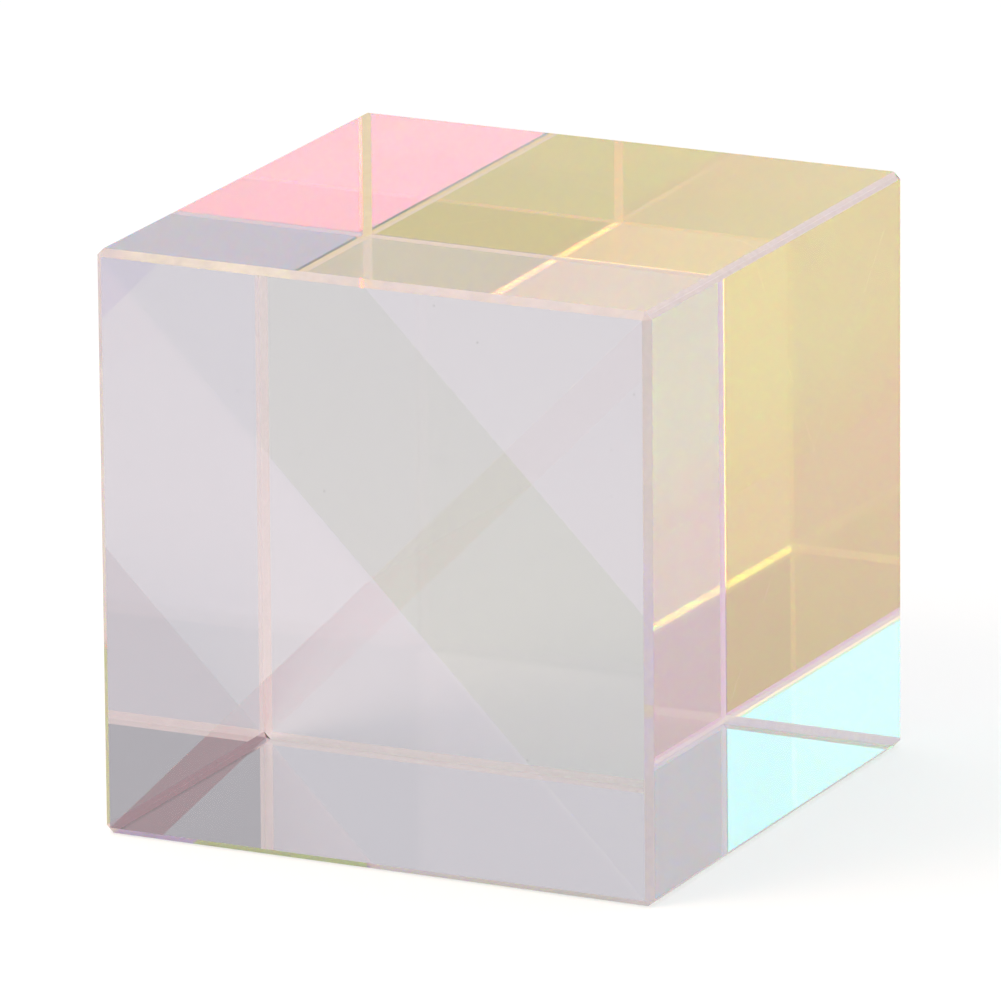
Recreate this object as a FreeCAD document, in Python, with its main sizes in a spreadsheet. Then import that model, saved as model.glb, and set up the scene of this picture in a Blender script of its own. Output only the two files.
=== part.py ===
"""Dichroic prism cube: four right-angle glass prisms cemented round one axis, in millimetres.

The prism axis runs along Y, so the two square end faces (-Y and +Y) show the glue lines as an X, and the
four side faces (+X, -X, +Z, -Z) are the prisms' broad faces. The cube rests on -Z, with its origin at the
centre of the bottom.

It is made as the real one is. Two pairs of prisms are cemented into half cubes, with the film that
reflects red inside them. The half cubes are cemented along the other diagonal, over the film that reflects
blue. Then the whole block is ground and polished flush, and each of its twelve edges is bevelled.
"""

import FreeCAD, Part
import Sketcher
from FreeCAD import Placement, Rotation, Vector

import os

# Driving dimensions in millimetres
SIZES = {
    "side_width": 25.0,
    "prism_length": 25.0,
    "bevel_leg": 0.3,
    "red_film_thickness": 0.003,
    "blue_film_thickness": 0.003,
    "pair_cement_thickness": 0.01,
    "main_cement_thickness": 0.01,
}

doc = FreeCAD.newDocument("PrismCube")
sheet = doc.addObject("Spreadsheet::Sheet", "Sizes")
for row, (alias, value) in enumerate(SIZES.items(), start=1):
    sheet.set(f"A{row}", str(value))
    sheet.setAlias(f"A{row}", alias)
doc.recompute()

# Each film lies centred on its diagonal plane, and the cement fills one side of it.
# These are the distances from the diagonal plane to the glass on the film's side and on the cement's side.
RED_FILM_SIDE = "Sizes.red_film_thickness / 2"
RED_CEMENT_SIDE = f"({RED_FILM_SIDE} + Sizes.pair_cement_thickness)"
BLUE_FILM_SIDE = "Sizes.blue_film_thickness / 2"
BLUE_CEMENT_SIDE = f"({BLUE_FILM_SIDE} + Sizes.main_cement_thickness)"

# The way from the prism axis out to a long edge of the cube, before it is bevelled
EDGE_REACH = "Sizes.side_width / sqrt(2)"

SKETCH_ORIGIN = (-1, 1)


def camel(label):
    """The label in capitals and without underscores, for names inside the document."""
    return label.title().replace("_", "")


def turned_body(label, turn):
    """A body whose frame sits at the cube's centre, turned about the prism axis by that many degrees."""
    body = doc.addObject("PartDesign::Body", camel(label) + "Blank")
    body.Placement = Placement(Vector(0, 0, 0), Rotation(Vector(0, 1, 0), turn))
    body.setExpression("Placement.Base.z", "Sizes.side_width / 2")
    return body


def section_sketch(body, corners):
    """A closed outline through the corners, across the prism axis, with the numbers of its lines.

    Its X and Y are the body's X and Z, and it lies in the middle of the prism's length.
    """
    sketch = body.newObject("Sketcher::SketchObject", body.Name + "Section")
    plane = next(feature for feature in body.Origin.OriginFeatures if feature.Role == "XZ_Plane")
    sketch.AttachmentSupport = [(plane, "")]
    sketch.MapMode = "FlatFace"
    lines = []
    for start, end in zip(corners, corners[1:] + corners[:1]):
        lines.append(sketch.addGeometry(Part.LineSegment(Vector(*start, 0), Vector(*end, 0)), False))
    for line, following in zip(lines, lines[1:] + lines[:1]):
        sketch.addConstraint(Sketcher.Constraint("Coincident", line, 2, following, 1))
    return sketch, lines


def bind_distance(sketch, kind, start, end, drawn, name, expression):
    """Adds a horizontal or vertical distance between two points and ties it to the spreadsheet."""
    index = sketch.addConstraint(Sketcher.Constraint(kind, *start, *end, drawn))
    sketch.renameConstraint(index, name)
    sketch.setExpression(f"Constraints.{name}", expression)


def pad_along_axis(body, sketch):
    """Pads the section to the prism's length, half of it to each side of the sketch."""
    feature = body.newObject("PartDesign::Pad", body.Name + "Pad")
    feature.Profile = sketch
    feature.SideType = "Symmetric"
    feature.setExpression("Length", "Sizes.prism_length")
    sketch.Visibility = False
    doc.recompute()
    return feature


# The form of the finished block: every edge is bevelled at 45 degrees, and each corner, where three bevels
# meet, ends in a small flat
ground_form = turned_body("ground_form", 0)
half_width = SIZES["side_width"] / 2
square, square_lines = section_sketch(
    ground_form,
    [
        (-half_width, -half_width), (half_width, -half_width),
        (half_width, half_width), (-half_width, half_width),
    ],
)
bottom_line, right_line, top_line, left_line = square_lines
for line in (bottom_line, top_line):
    square.addConstraint(Sketcher.Constraint("Horizontal", line))
for line in (right_line, left_line):
    square.addConstraint(Sketcher.Constraint("Vertical", line))
square.addConstraint(Sketcher.Constraint("Equal", bottom_line, right_line))
square.addConstraint(Sketcher.Constraint("Symmetric", bottom_line, 1, top_line, 1, *SKETCH_ORIGIN))
bind_distance(
    square, "DistanceX", (bottom_line, 1), (bottom_line, 2), 2 * half_width, "width", "Sizes.side_width"
)
ground_block = pad_along_axis(ground_form, square)
bevels = ground_form.newObject("PartDesign::Chamfer", "EdgeBevels")
bevels.Base = (ground_block, [f"Edge{number}" for number in range(1, len(ground_block.Shape.Edges) + 1)])
bevels.setExpression("Size", "Sizes.bevel_leg")
ground_form.Tip = bevels
doc.recompute()


def finish_piece(label, blank):
    """What the grinding leaves of a piece: the part of its blank that lies inside the ground form."""
    piece = doc.addObject("Part::Common", camel(label))
    piece.Label = label
    piece.Base = blank
    piece.Tool = ground_form
    return piece


def make_prism(label, turn, left_setback, right_setback):
    """One right-angle prism, drawn with its broad face up and its right angle at the cube's centre.

    Each leg stands back from the diagonal plane beside it by the setback on that side, which leaves room
    for the film, or for the film and the cement. Along the broad face that is the root of two as much.
    """
    body = turned_body(label, turn)
    section, lines = section_sketch(body, [(0, 0), (half_width, half_width), (-half_width, half_width)])
    right_leg, broad_face, left_leg = lines
    section.addConstraint(Sketcher.Constraint("Horizontal", broad_face))
    section.addConstraint(Sketcher.Constraint("Perpendicular", right_leg, left_leg))
    section.addConstraint(Sketcher.Constraint("Equal", right_leg, left_leg))
    right_end = (broad_face, 1)
    left_end = (broad_face, 2)
    bind_distance(
        section, "DistanceY", SKETCH_ORIGIN, right_end, half_width, "face_height", "Sizes.side_width / 2"
    )
    bind_distance(
        section, "DistanceX", SKETCH_ORIGIN, right_end, half_width,
        "right_end", f"Sizes.side_width / 2 - sqrt(2) * {right_setback}",
    )
    bind_distance(
        section, "DistanceX", left_end, SKETCH_ORIGIN, half_width,
        "left_end", f"Sizes.side_width / 2 - sqrt(2) * {left_setback}",
    )
    pad_along_axis(body, section)
    return finish_piece(label, body)


def make_layer(label, turn, inner_end, outer_end, lower_face, thickness):
    """A film or cement layer that lies flat on a diagonal plane, which the turn brings level.

    inner_end and outer_end are how far its two ends lie from the prism axis, and lower_face is the height
    of its lower face above the diagonal plane.
    """
    body = turned_body(label, turn)
    drawn_thickness = SIZES["main_cement_thickness"]
    drawn_start = half_width / 2
    section, lines = section_sketch(
        body,
        [(drawn_start, 0), (half_width, 0), (half_width, drawn_thickness), (drawn_start, drawn_thickness)],
    )
    lower_line, outer_line, upper_line, inner_line = lines
    for line in (lower_line, upper_line):
        section.addConstraint(Sketcher.Constraint("Horizontal", line))
    for line in (outer_line, inner_line):
        section.addConstraint(Sketcher.Constraint("Vertical", line))
    section.addConstraint(Sketcher.Constraint("PointOnObject", lower_line, 1, -1))
    bind_distance(
        section, "DistanceX", (lower_line, 1), (lower_line, 2), half_width - drawn_start,
        "run", f"{outer_end} - {inner_end}",
    )
    bind_distance(
        section, "DistanceX", SKETCH_ORIGIN, (lower_line, 2), half_width, "outer_end", outer_end
    )
    bind_distance(
        section, "DistanceY", (outer_line, 1), (outer_line, 2), drawn_thickness, "thickness", thickness
    )
    section.setExpression("AttachmentOffset.Base.y", lower_face)
    pad_along_axis(body, section)
    return finish_piece(label, body)


# The four prisms, each turned a quarter further round the axis from the top one
pieces = [
    make_prism("top_prism", 0, BLUE_FILM_SIDE, RED_FILM_SIDE),
    make_prism("right_prism", 90, RED_CEMENT_SIDE, BLUE_FILM_SIDE),
    make_prism("bottom_prism", 180, BLUE_CEMENT_SIDE, RED_CEMENT_SIDE),
    make_prism("left_prism", 270, RED_FILM_SIDE, BLUE_CEMENT_SIDE),
]

# The film that reflects red, on a leg of the top prism and one of the left prism, and the cement that
# joins each of them to the next prism. Both stop at the joint between the half cubes.
# A turn of -45 degrees points a layer to the cube's upper right edge, and 135 to its lower left one.
RED_THICKNESS = "Sizes.red_film_thickness"
PAIR_THICKNESS = "Sizes.pair_cement_thickness"
pieces += [
    make_layer("upper_red_film", -45, BLUE_FILM_SIDE, EDGE_REACH, f"-{RED_FILM_SIDE}", RED_THICKNESS),
    make_layer("upper_cement", -45, BLUE_FILM_SIDE, EDGE_REACH, f"-{RED_CEMENT_SIDE}", PAIR_THICKNESS),
    make_layer("lower_red_film", 135, BLUE_CEMENT_SIDE, EDGE_REACH, f"-{RED_FILM_SIDE}", RED_THICKNESS),
    make_layer("lower_cement", 135, BLUE_CEMENT_SIDE, EDGE_REACH, RED_FILM_SIDE, PAIR_THICKNESS),
]

# The film that reflects blue, on the whole diagonal face of the upper right half cube, and the cement that
# joins it to the other half cube. A turn of 45 degrees points them to the lower right edge.
BLUE_THICKNESS = "Sizes.blue_film_thickness"
MAIN_THICKNESS = "Sizes.main_cement_thickness"
pieces += [
    make_layer("blue_film", 45, f"-{EDGE_REACH}", EDGE_REACH, f"-{BLUE_FILM_SIDE}", BLUE_THICKNESS),
    make_layer("main_cement", 45, f"-{EDGE_REACH}", EDGE_REACH, f"-{BLUE_CEMENT_SIDE}", MAIN_THICKNESS),
]

doc.recompute()

for item in doc.Objects:
    if "Invalid" in item.State or "Error" in item.State:
        raise RuntimeError(f"{item.Label} failed: {item.State}")
for piece in pieces:
    if piece.Shape.isNull() or not piece.Shape.isValid() or len(piece.Shape.Solids) != 1:
        raise RuntimeError(f"{piece.Label} isn't one valid solid")

os.makedirs("parts", exist_ok=True)
for piece in pieces:
    piece.Shape.exportStep(f"parts/{piece.Label}.step")
    print(f"{piece.Label}: {piece.Shape.Volume:.4f} mm3, {len(piece.Shape.Faces)} faces")
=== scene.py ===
"""Dichroic prism cube on a plain pale table: polished glass, crossed colour films and ground edges."""

import math

import bpy
import numpy as np
from mathutils import Matrix, Vector


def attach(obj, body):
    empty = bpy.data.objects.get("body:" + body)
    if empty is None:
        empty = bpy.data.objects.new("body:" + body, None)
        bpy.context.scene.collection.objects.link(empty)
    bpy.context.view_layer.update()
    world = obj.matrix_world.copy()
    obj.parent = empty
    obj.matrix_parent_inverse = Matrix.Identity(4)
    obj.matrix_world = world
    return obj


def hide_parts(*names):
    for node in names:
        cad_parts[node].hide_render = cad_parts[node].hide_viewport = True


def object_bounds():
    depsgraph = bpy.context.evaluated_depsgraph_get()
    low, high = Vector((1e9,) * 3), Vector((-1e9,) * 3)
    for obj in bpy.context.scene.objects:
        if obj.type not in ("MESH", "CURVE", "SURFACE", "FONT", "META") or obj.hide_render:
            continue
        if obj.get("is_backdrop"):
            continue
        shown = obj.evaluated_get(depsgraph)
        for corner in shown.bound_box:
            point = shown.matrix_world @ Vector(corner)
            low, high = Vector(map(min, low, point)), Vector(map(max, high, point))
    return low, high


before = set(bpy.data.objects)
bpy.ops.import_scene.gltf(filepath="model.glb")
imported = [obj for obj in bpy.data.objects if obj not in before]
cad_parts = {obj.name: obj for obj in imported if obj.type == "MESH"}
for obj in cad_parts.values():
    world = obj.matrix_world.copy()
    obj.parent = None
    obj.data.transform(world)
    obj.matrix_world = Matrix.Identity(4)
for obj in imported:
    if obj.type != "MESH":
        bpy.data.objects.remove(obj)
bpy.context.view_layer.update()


# The four prisms
# Right-angle prisms of clear crown glass, cut, lapped and polished on their broad faces and square ends.
# After cementing, the edges of the block are ground to narrow frosted bevels, and a little dust settles
# on the polish. The glass tint is fitted to this light and is darker than clear glass would be: most of it is
# painted shade, which dims everything seen through the glass to the grey of dimmer surroundings.

cube_low, cube_high = (Vector(corner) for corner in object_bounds())
CUBE_MIDDLE = (cube_low + cube_high) / 2
HALF_SIDE = (cube_high.x - cube_low.x) / 2
BEVEL_LEG = 0.0003

GLASS_IOR = 1.5168
# Painted shade: this tint dims all that is seen through the glass, far below what clear glass would pass.
GLASS_TINT_AND_SHADE = (0.655, 0.64, 0.69, 1.0)
# Painted light: the bottom passes more than the sides, lifting the cube's shadow beneath it, warmer on the
# left.
BOTTOM_LEFT_LIGHT = (0.99, 0.73, 0.54, 1.0)
BOTTOM_RIGHT_LIGHT = (0.98, 0.95, 0.84, 1.0)
# Painted light: the pink of the clear and mirrored shares of the bevels stands in for warm light reaching
# them.
GROUND_CLEAR_WARM_LIGHT = (1.0, 0.89, 0.87, 1.0)
GROUND_WHITE = (0.95, 0.90, 0.88, 1.0)
GROUND_MIRROR = (0.95, 0.84, 0.86, 1.0)
DUST_GREY = (0.62, 0.60, 0.59, 1.0)
DUST_BROWN = (0.20, 0.165, 0.14, 1.0)

SPECK_CELLS_PER_METRE = 1000.0
SPECK_RADIUS = 0.075
SPECK_SHARE = 0.1
BARE_CELLS = 0.3
HAZE_CLEAR = 0.35
HAZE_THICK = 0.7

# Scale of the patches, and the lowest and highest share
FACE_HAZE = (260.0, 0.0, 0.02)
GROUND_SCATTER = (700.0, 0.26, 0.36)
GROUND_CHALK = (900.0, 0.25, 0.45)

COARSER_OUTSIDE = 0.15
COARSER_FROM_INSIDE = 0.5
GRAZING_START = 0.58
GRAZING_END = 0.64
GROUND_MIRROR_ROUGHNESS = 0.12
GRAINS_PER_METRE = 22000.0
GRAIN_DEPTH = 6e-6

FACE_MARGIN = 0.1 * BEVEL_LEG
BOTTOM_FADE_START = -0.2 * HALF_SIDE
BOTTOM_FADE_END = 0.1 * HALF_SIDE
CEMENTED_LIMIT = HALF_SIDE * 0.5
POLISHED_LIMIT = HALF_SIDE * 1.1


def add_node(tree, kind, values=(), **settings):
    """A shader node with its settings and the given input values."""
    node = tree.nodes.new(kind)
    for name, value in settings.items():
        setattr(node, name, value)
    for name, value in dict(values).items():
        node.inputs[name].default_value = value
    return node


def new_material(name):
    """An empty node material, its tree and its output node."""
    material = bpy.data.materials.new(name)
    material.use_nodes = True
    tree = material.node_tree
    tree.nodes.clear()
    return material, tree, tree.nodes.new("ShaderNodeOutputMaterial")


def from_middle(tree):
    """The place on the piece, measured from the cube's middle."""
    place = add_node(tree, "ShaderNodeTexCoord")
    centred = add_node(tree, "ShaderNodeVectorMath", {1: CUBE_MIDDLE}, operation="SUBTRACT")
    tree.links.new(place.outputs["Object"], centred.inputs[0])
    return centred.outputs[0]


def compare(tree, value, limit, operation="GREATER_THAN"):
    """One where the value is beyond the limit and nought elsewhere."""
    node = add_node(tree, "ShaderNodeMath", {1: limit}, operation=operation)
    tree.links.new(value, node.inputs[0])
    return node.outputs[0]


def mix_shaders(tree, factor, first, second):
    """The second shader where the factor is one, the first where it is nought."""
    node = add_node(tree, "ShaderNodeMixShader")
    tree.links.new(factor, node.inputs[0])
    tree.links.new(first.outputs[0], node.inputs[1])
    tree.links.new(second.outputs[0], node.inputs[2])
    return node


def plane_distance(tree):
    """How far the plane of each face lies from the cube's middle: the dot product of place and normal.

    It is nought on the cemented faces, half the side on the polished ones, and more on every bevel.
    """
    place = add_node(tree, "ShaderNodeTexCoord")
    dot = add_node(tree, "ShaderNodeVectorMath", operation="DOT_PRODUCT")
    size = add_node(tree, "ShaderNodeMath", operation="ABSOLUTE")
    tree.links.new(from_middle(tree), dot.inputs[0])
    tree.links.new(place.outputs["Normal"], dot.inputs[1])
    tree.links.new(dot.outputs["Value"], size.inputs[0])
    return size.outputs[0]


def dust_specks(tree):
    """A small share on sparse specks: little balls round the points of cells one millimetre wide.

    The largest are 0.15 mm wide, and three cells in ten have none.
    """
    centred = from_middle(tree)
    cells = add_node(
        tree, "ShaderNodeTexVoronoi", {"Scale": SPECK_CELLS_PER_METRE, "Randomness": 1.0}, feature="F1"
    )
    tree.links.new(centred, cells.inputs["Vector"])
    channels = add_node(tree, "ShaderNodeSeparateColor")
    tree.links.new(cells.outputs["Color"], channels.inputs[0])
    radius = add_node(
        tree, "ShaderNodeMapRange",
        {"From Min": BARE_CELLS, "From Max": 1.0, "To Min": 0.0, "To Max": SPECK_RADIUS},
    )
    tree.links.new(channels.outputs[0], radius.inputs[0])
    ball = add_node(tree, "ShaderNodeMath", operation="LESS_THAN")
    tree.links.new(cells.outputs["Distance"], ball.inputs[0])
    tree.links.new(radius.outputs[0], ball.inputs[1])
    share = add_node(tree, "ShaderNodeMath", {1: SPECK_SHARE}, operation="MULTIPLY")
    tree.links.new(ball.outputs[0], share.inputs[0])
    return share.outputs[0]


def haze(tree, scale, low, high):
    """A soft patchy film of dust, as a small share between low and high."""
    centred = from_middle(tree)
    clouds = add_node(tree, "ShaderNodeTexNoise", {"Scale": scale, "Detail": 4.0, "Roughness": 0.6})
    share = add_node(
        tree, "ShaderNodeMapRange",
        {"From Min": HAZE_CLEAR, "From Max": HAZE_THICK, "To Min": low, "To Max": high},
    )
    tree.links.new(centred, clouds.inputs["Vector"])
    tree.links.new(clouds.outputs[0], share.inputs[0])
    return share.outputs[0]


def clear_glass(tree, tint, mirror_tint=(1.0, 1.0, 1.0, 1.0)):
    """Polished glass that tints what passes through it, and a little what it mirrors."""
    values = {
        "Base Color": tint, "Roughness": 0.0, "IOR": GLASS_IOR, "Transmission Weight": 1.0,
        "Specular Tint": mirror_tint,
    }
    return add_node(tree, "ShaderNodeBsdfPrincipled", values)


def polished_faces(tree, end_tint):
    """The broad faces, the two square ends and the bottom, each kind with a tint of its own.

    The bottom's tint goes from one half to the other. It is painted light: the bottom passes far more than
    the sides, to lift the cube's own shadow on the board beneath it, and the orange of its left half stands
    in for warm light under the cube that the films don't give.
    """
    centred = from_middle(tree)
    axes = add_node(tree, "ShaderNodeSeparateXYZ")
    tree.links.new(centred, axes.inputs[0])
    along = add_node(tree, "ShaderNodeMath", operation="ABSOLUTE")
    tree.links.new(axes.outputs["Y"], along.inputs[0])
    ends = compare(tree, along.outputs[0], HALF_SIDE - FACE_MARGIN)
    bottom = compare(tree, axes.outputs["Z"], FACE_MARGIN - HALF_SIDE, "LESS_THAN")
    across = add_node(
        tree, "ShaderNodeMapRange", {"From Min": BOTTOM_FADE_START, "From Max": BOTTOM_FADE_END}
    )
    tree.links.new(axes.outputs["X"], across.inputs["Value"])
    # The bottom's two tints are painted light under the cube, orange on the left.
    halves = add_node(tree, "ShaderNodeMix", {6: BOTTOM_LEFT_LIGHT, 7: BOTTOM_RIGHT_LIGHT}, data_type="RGBA")
    tree.links.new(across.outputs[0], halves.inputs["Factor"])
    foot = clear_glass(tree, BOTTOM_RIGHT_LIGHT)
    tree.links.new(halves.outputs[2], foot.inputs["Base Color"])
    face = mix_shaders(tree, bottom, clear_glass(tree, GLASS_TINT_AND_SHADE), foot)
    return mix_shaders(tree, ends, face, clear_glass(tree, GLASS_TINT_AND_SHADE, end_tint))


def dusty(tree, clean):
    """The clean face with a breath of dust and a few specks, both on its outer side only."""
    side = add_node(tree, "ShaderNodeNewGeometry")
    film_of_dust = add_node(tree, "ShaderNodeBsdfDiffuse", {"Color": DUST_GREY})
    speck = add_node(tree, "ShaderNodeBsdfDiffuse", {"Color": DUST_BROWN})
    face = mix_shaders(tree, haze(tree, *FACE_HAZE), clean, film_of_dust)
    face = mix_shaders(tree, dust_specks(tree), face, speck)
    return mix_shaders(tree, side.outputs["Backfacing"], face, clean)


def ground_finish(tree):
    """The frosted bevels: light passes the rough skin unbent, or is scattered through it or thrown back.

    The bevels round the front end are ground coarser and scatter more. Light that grazes a bevel from
    inside is mirrored, because even a rough skin totally reflects it.
    """
    centred = from_middle(tree)
    axes = add_node(tree, "ShaderNodeSeparateXYZ")
    tree.links.new(centred, axes.inputs[0])
    front = compare(tree, axes.outputs["Y"], BEVEL_LEG - HALF_SIDE, "LESS_THAN")
    side = add_node(tree, "ShaderNodeNewGeometry")
    coarseness = add_node(
        tree, "ShaderNodeMath", {1: COARSER_FROM_INSIDE, 2: COARSER_OUTSIDE}, operation="MULTIPLY_ADD"
    )
    tree.links.new(side.outputs["Backfacing"], coarseness.inputs[0])
    more = add_node(tree, "ShaderNodeMath", operation="MULTIPLY_ADD")
    tree.links.new(front, more.inputs[0])
    tree.links.new(coarseness.outputs[0], more.inputs[1])
    tree.links.new(haze(tree, *GROUND_SCATTER), more.inputs[2])
    weight = add_node(tree, "ShaderNodeLayerWeight", {"Blend": 0.5})
    grazing = add_node(tree, "ShaderNodeMapRange", {"From Min": GRAZING_START, "From Max": GRAZING_END})
    grazing_inside = add_node(tree, "ShaderNodeMath", operation="MULTIPLY")
    tree.links.new(weight.outputs["Facing"], grazing.inputs["Value"])
    tree.links.new(grazing.outputs[0], grazing_inside.inputs[0])
    tree.links.new(side.outputs["Backfacing"], grazing_inside.inputs[1])
    grains = add_node(
        tree, "ShaderNodeTexNoise", {"Scale": GRAINS_PER_METRE, "Detail": 2.0, "Roughness": 0.7}
    )
    tree.links.new(centred, grains.inputs["Vector"])
    bump = add_node(tree, "ShaderNodeBump", {"Strength": 0.5, "Distance": GRAIN_DEPTH})
    tree.links.new(grains.outputs[0], bump.inputs["Height"])
    # The pink of the unbent, scattered and mirrored shares is painted light, standing in for warm light on
    # the bevels.
    straight = add_node(tree, "ShaderNodeBsdfTransparent", {"Color": GROUND_CLEAR_WARM_LIGHT})
    passing = add_node(tree, "ShaderNodeBsdfTranslucent", {"Color": GROUND_CLEAR_WARM_LIGHT})
    chalky = add_node(tree, "ShaderNodeBsdfDiffuse", {"Color": GROUND_WHITE})
    tree.links.new(bump.outputs[0], passing.inputs["Normal"])
    tree.links.new(bump.outputs[0], chalky.inputs["Normal"])
    scattered = mix_shaders(tree, haze(tree, *GROUND_CHALK), passing, chalky)
    bevel = mix_shaders(tree, more.outputs[0], straight, scattered)
    mirror = add_node(
        tree, "ShaderNodeBsdfGlossy", {"Color": GROUND_MIRROR, "Roughness": GROUND_MIRROR_ROUGHNESS}
    )
    return mix_shaders(tree, grazing_inside.outputs[0], bevel, mirror)


def glass_material(name, end_tint):
    """Polished glass outside, ground on the bevels, and nothing to see where two pieces are cemented."""
    material, tree, output = new_material(name)
    distance = plane_distance(tree)
    face = dusty(tree, polished_faces(tree, end_tint))
    joint = add_node(tree, "ShaderNodeBsdfTransparent")
    outside = mix_shaders(tree, compare(tree, distance, POLISHED_LIMIT), face, ground_finish(tree))
    surface = mix_shaders(tree, compare(tree, distance, CEMENTED_LIMIT), joint, outside)
    tree.links.new(surface.outputs[0], output.inputs["Surface"])
    return material


def dress(node_names, material):
    """Gives the CAD nodes this material alone."""
    for node_name in node_names:
        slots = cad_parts[node_name].data.materials
        slots.clear()
        slots.append(material)


END_TINTS = {
    "top_prism": (0.98, 0.97, 0.80, 1.0),
    "right_prism": (0.99, 0.84, 0.81, 1.0),
    "bottom_prism": (0.99, 0.94, 0.85, 1.0),
    "left_prism": (0.97, 0.86, 0.89, 1.0),
}
for prism_name, end_tint in END_TINTS.items():
    dress((prism_name,), glass_material(prism_name + "_glass", end_tint))


# The film that reflects red
# A stack of thin hard layers, evaporated in vacuum onto a polished leg of the top prism and one of the left
# prism before they are cemented in pairs. It passes green and blue and mirrors red, and turns to mirroring
# green where the light grazes it more. Each half has colours of its own, fitted to how it looks.

FILM_HALF = 0.75e-6
EDGE_GAP = 1e-6
FILM_REACH = math.sqrt(2) * (HALF_SIDE - BEVEL_LEG / 2) - EDGE_GAP
RED_START = 2e-6
GRID_LINES = 9
DRIFT_SCALE = 60.0
DRIFT = 0.006


def film_piece(name, node_name, run, inner, outer, normal):
    """A flat closed slab on a diagonal plane.

    Its point at (u, v, w) is the cube's middle plus u along the run, v times the half length along the
    prism axis, and w times half the thickness along the normal. The half length is half the side, less
    what the corner flats take: three half sides less two bevel legs less the root of two times u.
    """
    shoulder = math.sqrt(2) * (HALF_SIDE - BEVEL_LEG)
    u = np.linspace(inner, outer, GRID_LINES)
    u = np.unique(np.concatenate([u, [s for s in (-shoulder, shoulder) if inner < s < outer]]))
    v = np.linspace(-1, 1, GRID_LINES)
    across = 3 * HALF_SIDE - 2 * BEVEL_LEG - math.sqrt(2) * np.abs(u)
    half_length = np.minimum(HALF_SIDE, across) - EDGE_GAP
    run, normal = (np.array(way, float) / np.linalg.norm(way) for way in (run, normal))
    sheet = np.array(CUBE_MIDDLE) + u[:, None, None] * run
    sheet = sheet + (half_length[:, None] * v)[..., None] * np.array((0.0, 1.0, 0.0))
    points = np.concatenate([(sheet + side * FILM_HALF * normal).reshape(-1, 3) for side in (1, -1)])

    top = np.arange(len(u) * len(v)).reshape(len(u), len(v))
    low = top + top.size
    upper = np.stack([top[:-1, :-1], top[1:, :-1], top[1:, 1:], top[:-1, 1:]], -1).reshape(-1, 4)
    lower = np.stack([low[:-1, :-1], low[:-1, 1:], low[1:, 1:], low[1:, :-1]], -1).reshape(-1, 4)
    ring = np.concatenate([top[:-1, 0], top[-1, :-1], top[:0:-1, -1], top[0, :0:-1]])
    after = np.roll(ring, -1)
    rim = np.stack([ring, ring + top.size, after + top.size, after], -1)
    faces = np.concatenate([upper, lower, rim])
    if np.dot(np.cross(run, (0.0, 1.0, 0.0)), normal) < 0:
        faces = faces[:, ::-1]

    mesh = bpy.data.meshes.new(name)
    mesh.from_pydata(points.tolist(), [], faces.tolist())
    mesh.update()
    piece = bpy.data.objects.new(name, mesh)
    bpy.context.scene.collection.objects.link(piece)
    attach(piece, "root")
    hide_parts(node_name)
    return piece


def passed_colour(tree, colours):
    """The share of each colour that the film passes, by the angle at which the light meets it.

    The layers are a little thicker in one place than in another, which shifts the angle slightly.
    """
    centred = from_middle(tree)
    weight = add_node(tree, "ShaderNodeLayerWeight", {"Blend": 0.5})
    drift = add_node(tree, "ShaderNodeTexNoise", {"Scale": DRIFT_SCALE, "Detail": 1.0})
    shift = add_node(
        tree, "ShaderNodeMapRange", {"From Min": 0.3, "From Max": 0.7, "To Min": -DRIFT, "To Max": DRIFT}
    )
    total = add_node(tree, "ShaderNodeMath", operation="ADD")
    tree.links.new(centred, drift.inputs["Vector"])
    tree.links.new(drift.outputs[0], shift.inputs[0])
    tree.links.new(weight.outputs["Facing"], total.inputs[0])
    tree.links.new(shift.outputs[0], total.inputs[1])
    ramp = add_node(tree, "ShaderNodeValToRGB")
    elements = ramp.color_ramp.elements
    while len(elements) < len(colours):
        elements.new(0.5)
    for element, (angle, colour) in zip(elements, colours):
        element.position = 1 - math.cos(math.radians(angle))
        element.color = (*colour, 1.0)
    tree.links.new(total.outputs[0], ramp.inputs[0])
    return ramp.outputs[0]


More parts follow.
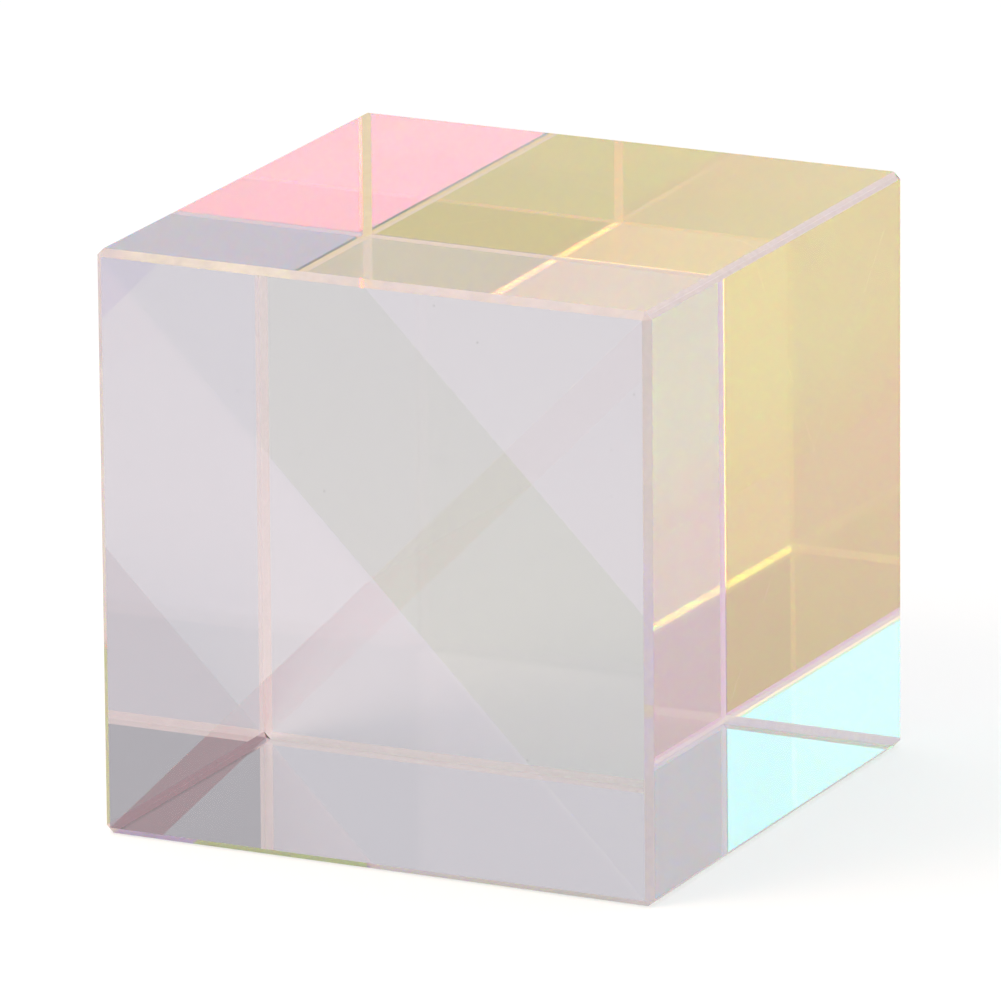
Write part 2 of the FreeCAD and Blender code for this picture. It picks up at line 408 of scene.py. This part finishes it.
def film_material(name, normal, colours, mirror_tint, far_colours=None):
    """Passes one part of the colours and mirrors the rest, at the face of the slab that the normal leaves.

    Far colours, where given, are those of the half that lies on the +X side. The mirror tint is what the
    film keeps of the mirrored light, where it absorbs a little.
    """
    material, tree, output = new_material(name)
    centred = from_middle(tree)
    across = Vector(normal).normalized()
    height = add_node(tree, "ShaderNodeVectorMath", {1: across}, operation="DOT_PRODUCT")
    tree.links.new(centred, height.inputs[0])
    active = compare(tree, height.outputs["Value"], 0.0)
    colour = passed_colour(tree, colours)
    if far_colours:
        axes = add_node(tree, "ShaderNodeSeparateXYZ")
        tree.links.new(centred, axes.inputs[0])
        halves = add_node(tree, "ShaderNodeMix", data_type="RGBA")
        tree.links.new(compare(tree, axes.outputs["X"], 0.0), halves.inputs["Factor"])
        tree.links.new(colour, halves.inputs[6])
        tree.links.new(passed_colour(tree, far_colours), halves.inputs[7])
        colour = halves.outputs[2]
    passed = add_node(tree, "ShaderNodeBsdfTransparent")
    tree.links.new(colour, passed.inputs[0])
    rest = add_node(tree, "ShaderNodeInvert")
    tree.links.new(colour, rest.inputs["Color"])
    kept = add_node(
        tree, "ShaderNodeMix", {"Factor": 1.0, 7: mirror_tint}, data_type="RGBA", blend_type="MULTIPLY"
    )
    tree.links.new(rest.outputs[0], kept.inputs[6])
    mirrored = add_node(tree, "ShaderNodeBsdfGlossy", {"Roughness": 0.0})
    tree.links.new(kept.outputs[2], mirrored.inputs[0])
    both = add_node(tree, "ShaderNodeAddShader")
    tree.links.new(passed.outputs[0], both.inputs[0])
    tree.links.new(mirrored.outputs[0], both.inputs[1])
    clear = add_node(tree, "ShaderNodeBsdfTransparent")
    surface = mix_shaders(tree, active, clear, both)
    tree.links.new(surface.outputs[0], output.inputs["Surface"])
    return material


UPPER_RED = (
    (42, (0.02, 0.93, 0.97)), (46, (0.03, 0.94, 0.97)), (64, (0.74, 0.11, 0.96)),
    (69, (0.11, 0.47, 0.53)), (74, (0.15, 0.48, 0.53)), (87, (0.49, 0.50, 0.45)),
)
LOWER_RED = (
    (42, (0.05, 0.93, 0.95)), (46, (0.17, 0.92, 0.97)), (64, (0.75, 0.03, 0.97)),
    (69, (0.10, 0.03, 0.03)), (74, (0.16, 0.05, 0.05)), (87, (0.62, 0.20, 0.24)),
)
RED_MIRROR = (1.0, 0.96, 0.96, 1.0)
for piece_name, node_name, run, normal, colours in (
    ("upper_red_coating", "upper_red_film", (1, 0, 1), (-1, 0, 1), UPPER_RED),
    ("lower_red_coating", "lower_red_film", (-1, 0, -1), (1, 0, -1), LOWER_RED),
):
    coating = film_piece(piece_name, node_name, run, RED_START, FILM_REACH, normal)
    coating.data.materials.append(film_material(piece_name, normal, colours, RED_MIRROR))


# The film that reflects blue
# A thicker stack of the same kind, on the whole polished diagonal of one half cube, so that it runs
# unbroken past the prism axis. It passes red and green and mirrors blue, and lets more of it through where
# the light grazes it.

BLUE_LEFT = (
    (42, (0.98, 0.81, 0.03)), (46, (0.97, 0.96, 0.25)), (64, (0.95, 0.92, 0.39)),
    (69, (0.85, 0.91, 0.71)), (74, (0.83, 0.89, 0.70)), (87, (0.64, 0.68, 0.55)),
)
BLUE_RIGHT = (
    (42, (0.96, 0.86, 0.11)), (46, (0.98, 0.98, 0.28)), (64, (0.95, 0.91, 0.40)),
    (69, (0.85, 0.93, 0.68)), (74, (0.82, 0.90, 0.67)), (87, (0.50, 0.50, 0.50)),
)
BLUE_MIRROR = (0.75, 0.65, 0.92, 1.0)
blue_normal = (1, 0, 1)
blue_coating = film_piece("blue_coating", "blue_film", (1, 0, -1), -FILM_REACH, FILM_REACH, blue_normal)
blue_coating.data.materials.append(
    film_material("blue_coating", blue_normal, BLUE_LEFT, BLUE_MIRROR, BLUE_RIGHT)
)


# The cement
# Clear adhesive of the same refraction as the glass, cured under ultraviolet light in layers a hundredth of
# a millimetre thick. Only its rims reach the surface, where they are polished and ground with the prisms.

CEMENT_END_TINT = (0.98, 0.92, 0.85, 1.0)
dress(
    ("upper_cement", "lower_cement", "main_cement"), glass_material("optical_cement", CEMENT_END_TINT)
)


# The table and the light
# A plain board, grey in itself, that a glow lifts to white where the camera, a mirror or the glass sees it.
# Round it are a large soft lamp to the left of the camera, a dim room to its right and a white ceiling, and a
# small soft lamp hangs over the front left of the board.

BOARD_WHITE = (0.38, 0.38, 0.38, 1.0)
BOARD_GLOW = 0.63
MIRRORED_GLOW = 0.605
SOFTBOX_WARM = (1.12, 1.0, 0.93, 1.0)
HORIZON_BRIGHTNESS = 0.93
CEILING_BRIGHTNESS = 1.06
BOARD_SIZE = 4.0
BOARD_DROP = 0.00002

bpy.ops.mesh.primitive_plane_add(size=BOARD_SIZE, location=(0, 0, -BOARD_DROP))
board = bpy.context.object
board.name = "white_board"
board_material, tree, output = new_material("white_board")
lit = add_node(tree, "ShaderNodeBsdfDiffuse", {"Color": BOARD_WHITE})
glow = add_node(tree, "ShaderNodeEmission", {"Color": (1, 1, 1, 1)})
path = add_node(tree, "ShaderNodeLightPath")
seen = add_node(tree, "ShaderNodeMath", {1: BOARD_GLOW}, operation="MULTIPLY")
mirrored_or_bent = add_node(tree, "ShaderNodeMath", operation="MAXIMUM")
mirrored = add_node(tree, "ShaderNodeMath", {1: MIRRORED_GLOW}, operation="MULTIPLY")
strength = add_node(tree, "ShaderNodeMath", operation="MAXIMUM")
tree.links.new(path.outputs["Is Camera Ray"], seen.inputs[0])
tree.links.new(path.outputs["Is Glossy Ray"], mirrored_or_bent.inputs[0])
tree.links.new(path.outputs["Is Transmission Ray"], mirrored_or_bent.inputs[1])
tree.links.new(mirrored_or_bent.outputs[0], mirrored.inputs[0])
tree.links.new(seen.outputs[0], strength.inputs[0])
tree.links.new(mirrored.outputs[0], strength.inputs[1])
tree.links.new(strength.outputs[0], glow.inputs["Strength"])
board_surface = add_node(tree, "ShaderNodeAddShader")
tree.links.new(lit.outputs[0], board_surface.inputs[0])
tree.links.new(glow.outputs[0], board_surface.inputs[1])
tree.links.new(board_surface.outputs[0], output.inputs["Surface"])
board.data.materials.append(board_material)
board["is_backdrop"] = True

world = bpy.data.worlds.new("studio")
bpy.context.scene.world = world
world.use_nodes = True
tree = world.node_tree
tree.nodes.clear()
direction = add_node(tree, "ShaderNodeTexCoord")
axes = add_node(tree, "ShaderNodeSeparateXYZ")
tree.links.new(direction.outputs["Generated"], axes.inputs[0])


def fade(axis, start, end, first, last):
    """A brightness that goes smoothly from the first to the last value along one axis of the direction."""
    node = add_node(
        tree, "ShaderNodeMapRange",
        {"From Min": start, "From Max": end, "To Min": first, "To Max": last},
        interpolation_type="SMOOTHSTEP",
    )
    tree.links.new(axes.outputs[axis], node.inputs["Value"])
    return node.outputs[0]


def blend_values(factor, first, second):
    """The second value where the factor is one, the first where it is nought; numbers or sockets."""
    node = add_node(tree, "ShaderNodeMix", data_type="FLOAT")
    tree.links.new(factor, node.inputs[0])
    for socket, value in ((node.inputs[2], first), (node.inputs[3], second)):
        if isinstance(value, float):
            socket.default_value = value
        else:
            tree.links.new(value, socket)
    return node.outputs[0]


behind = fade("X", 0.54, 0.12, 0.30, 0.88)
in_front = fade("X", 0.25, -0.25, 0.12, 1.90)
towards_front = fade("Y", -0.30, -0.70, 0.0, 1.0)
around = blend_values(towards_front, behind, in_front)
horizon = blend_values(fade("Z", 0.08, 0.22, 0.0, 1.0), HORIZON_BRIGHTNESS, around)
sky = blend_values(fade("Z", 0.46, 0.64, 0.0, 1.0), horizon, CEILING_BRIGHTNESS)
front_left = add_node(tree, "ShaderNodeMath", operation="MULTIPLY")
tree.links.new(towards_front, front_left.inputs[0])
tree.links.new(fade("X", 0.25, -0.25, 0.0, 1.0), front_left.inputs[1])
warmth = add_node(tree, "ShaderNodeMix", {6: (1, 1, 1, 1), 7: SOFTBOX_WARM}, data_type="RGBA")
tree.links.new(front_left.outputs[0], warmth.inputs["Factor"])
background = add_node(tree, "ShaderNodeBackground")
tree.links.new(warmth.outputs[2], background.inputs["Color"])
tree.links.new(sky, background.inputs["Strength"])
world_output = tree.nodes.new("ShaderNodeOutputWorld")
tree.links.new(background.outputs[0], world_output.inputs["Surface"])

low_lamp_data = bpy.data.lights.new("low_soft_lamp", "AREA")
low_lamp_data.shape = "DISK"
low_lamp_data.size = 0.07
low_lamp_data.energy = 0.115
low_lamp_data.color = (1.0, 0.72, 0.55)
low_lamp = bpy.data.objects.new("low_soft_lamp", low_lamp_data)
low_lamp.location = (-0.050, -0.070, 0.110)
bpy.context.scene.collection.objects.link(low_lamp)


# The camera
# A long lens a little over half a metre away, above the cube and to the right of its front end face.
# Its place is in sides of the cube, from the cube's middle and along the camera's own axes.

azimuth, elevation, roll = (math.radians(angle) for angle in (25.81, 15.95, -0.48))
back = Vector((
    math.sin(azimuth) * math.cos(elevation), -math.cos(azimuth) * math.cos(elevation), math.sin(elevation),
))
right = Vector((math.cos(azimuth), math.sin(azimuth), 0))
level = Matrix((right, back.cross(right), back))
tilt = Matrix(((math.cos(roll), math.sin(roll), 0), (-math.sin(roll), math.cos(roll), 0), (0, 0, 1)))
view_axes = (tilt @ level).transposed()
SIDE = 2 * HALF_SIDE
PHOTO_WIDTH = 1001
FOCAL_PIXELS = 13711.0
camera_data = bpy.data.cameras.new("camera")
camera_data.sensor_width = 36.0
camera_data.lens = FOCAL_PIXELS * camera_data.sensor_width / PHOTO_WIDTH
camera_data.clip_start = 0.01
camera_data.clip_end = 10.0
camera = bpy.data.objects.new("camera", camera_data)
bpy.context.scene.collection.objects.link(camera)
CAMERA_PLACE = Vector((-0.0074, 0.0006, 22.749))
place = CUBE_MIDDLE + view_axes @ (CAMERA_PLACE * SIDE)
camera.matrix_world = Matrix.Translation(place) @ view_axes.to_4x4()

scene = bpy.context.scene
scene.camera = camera
scene.view_settings.view_transform = "Standard"
scene.cycles.max_bounces = 13
scene.cycles.glossy_bounces = 12
scene.cycles.transmission_bounces = 12
scene.cycles.transparent_max_bounces = 48
scene.cycles.diffuse_bounces = 1
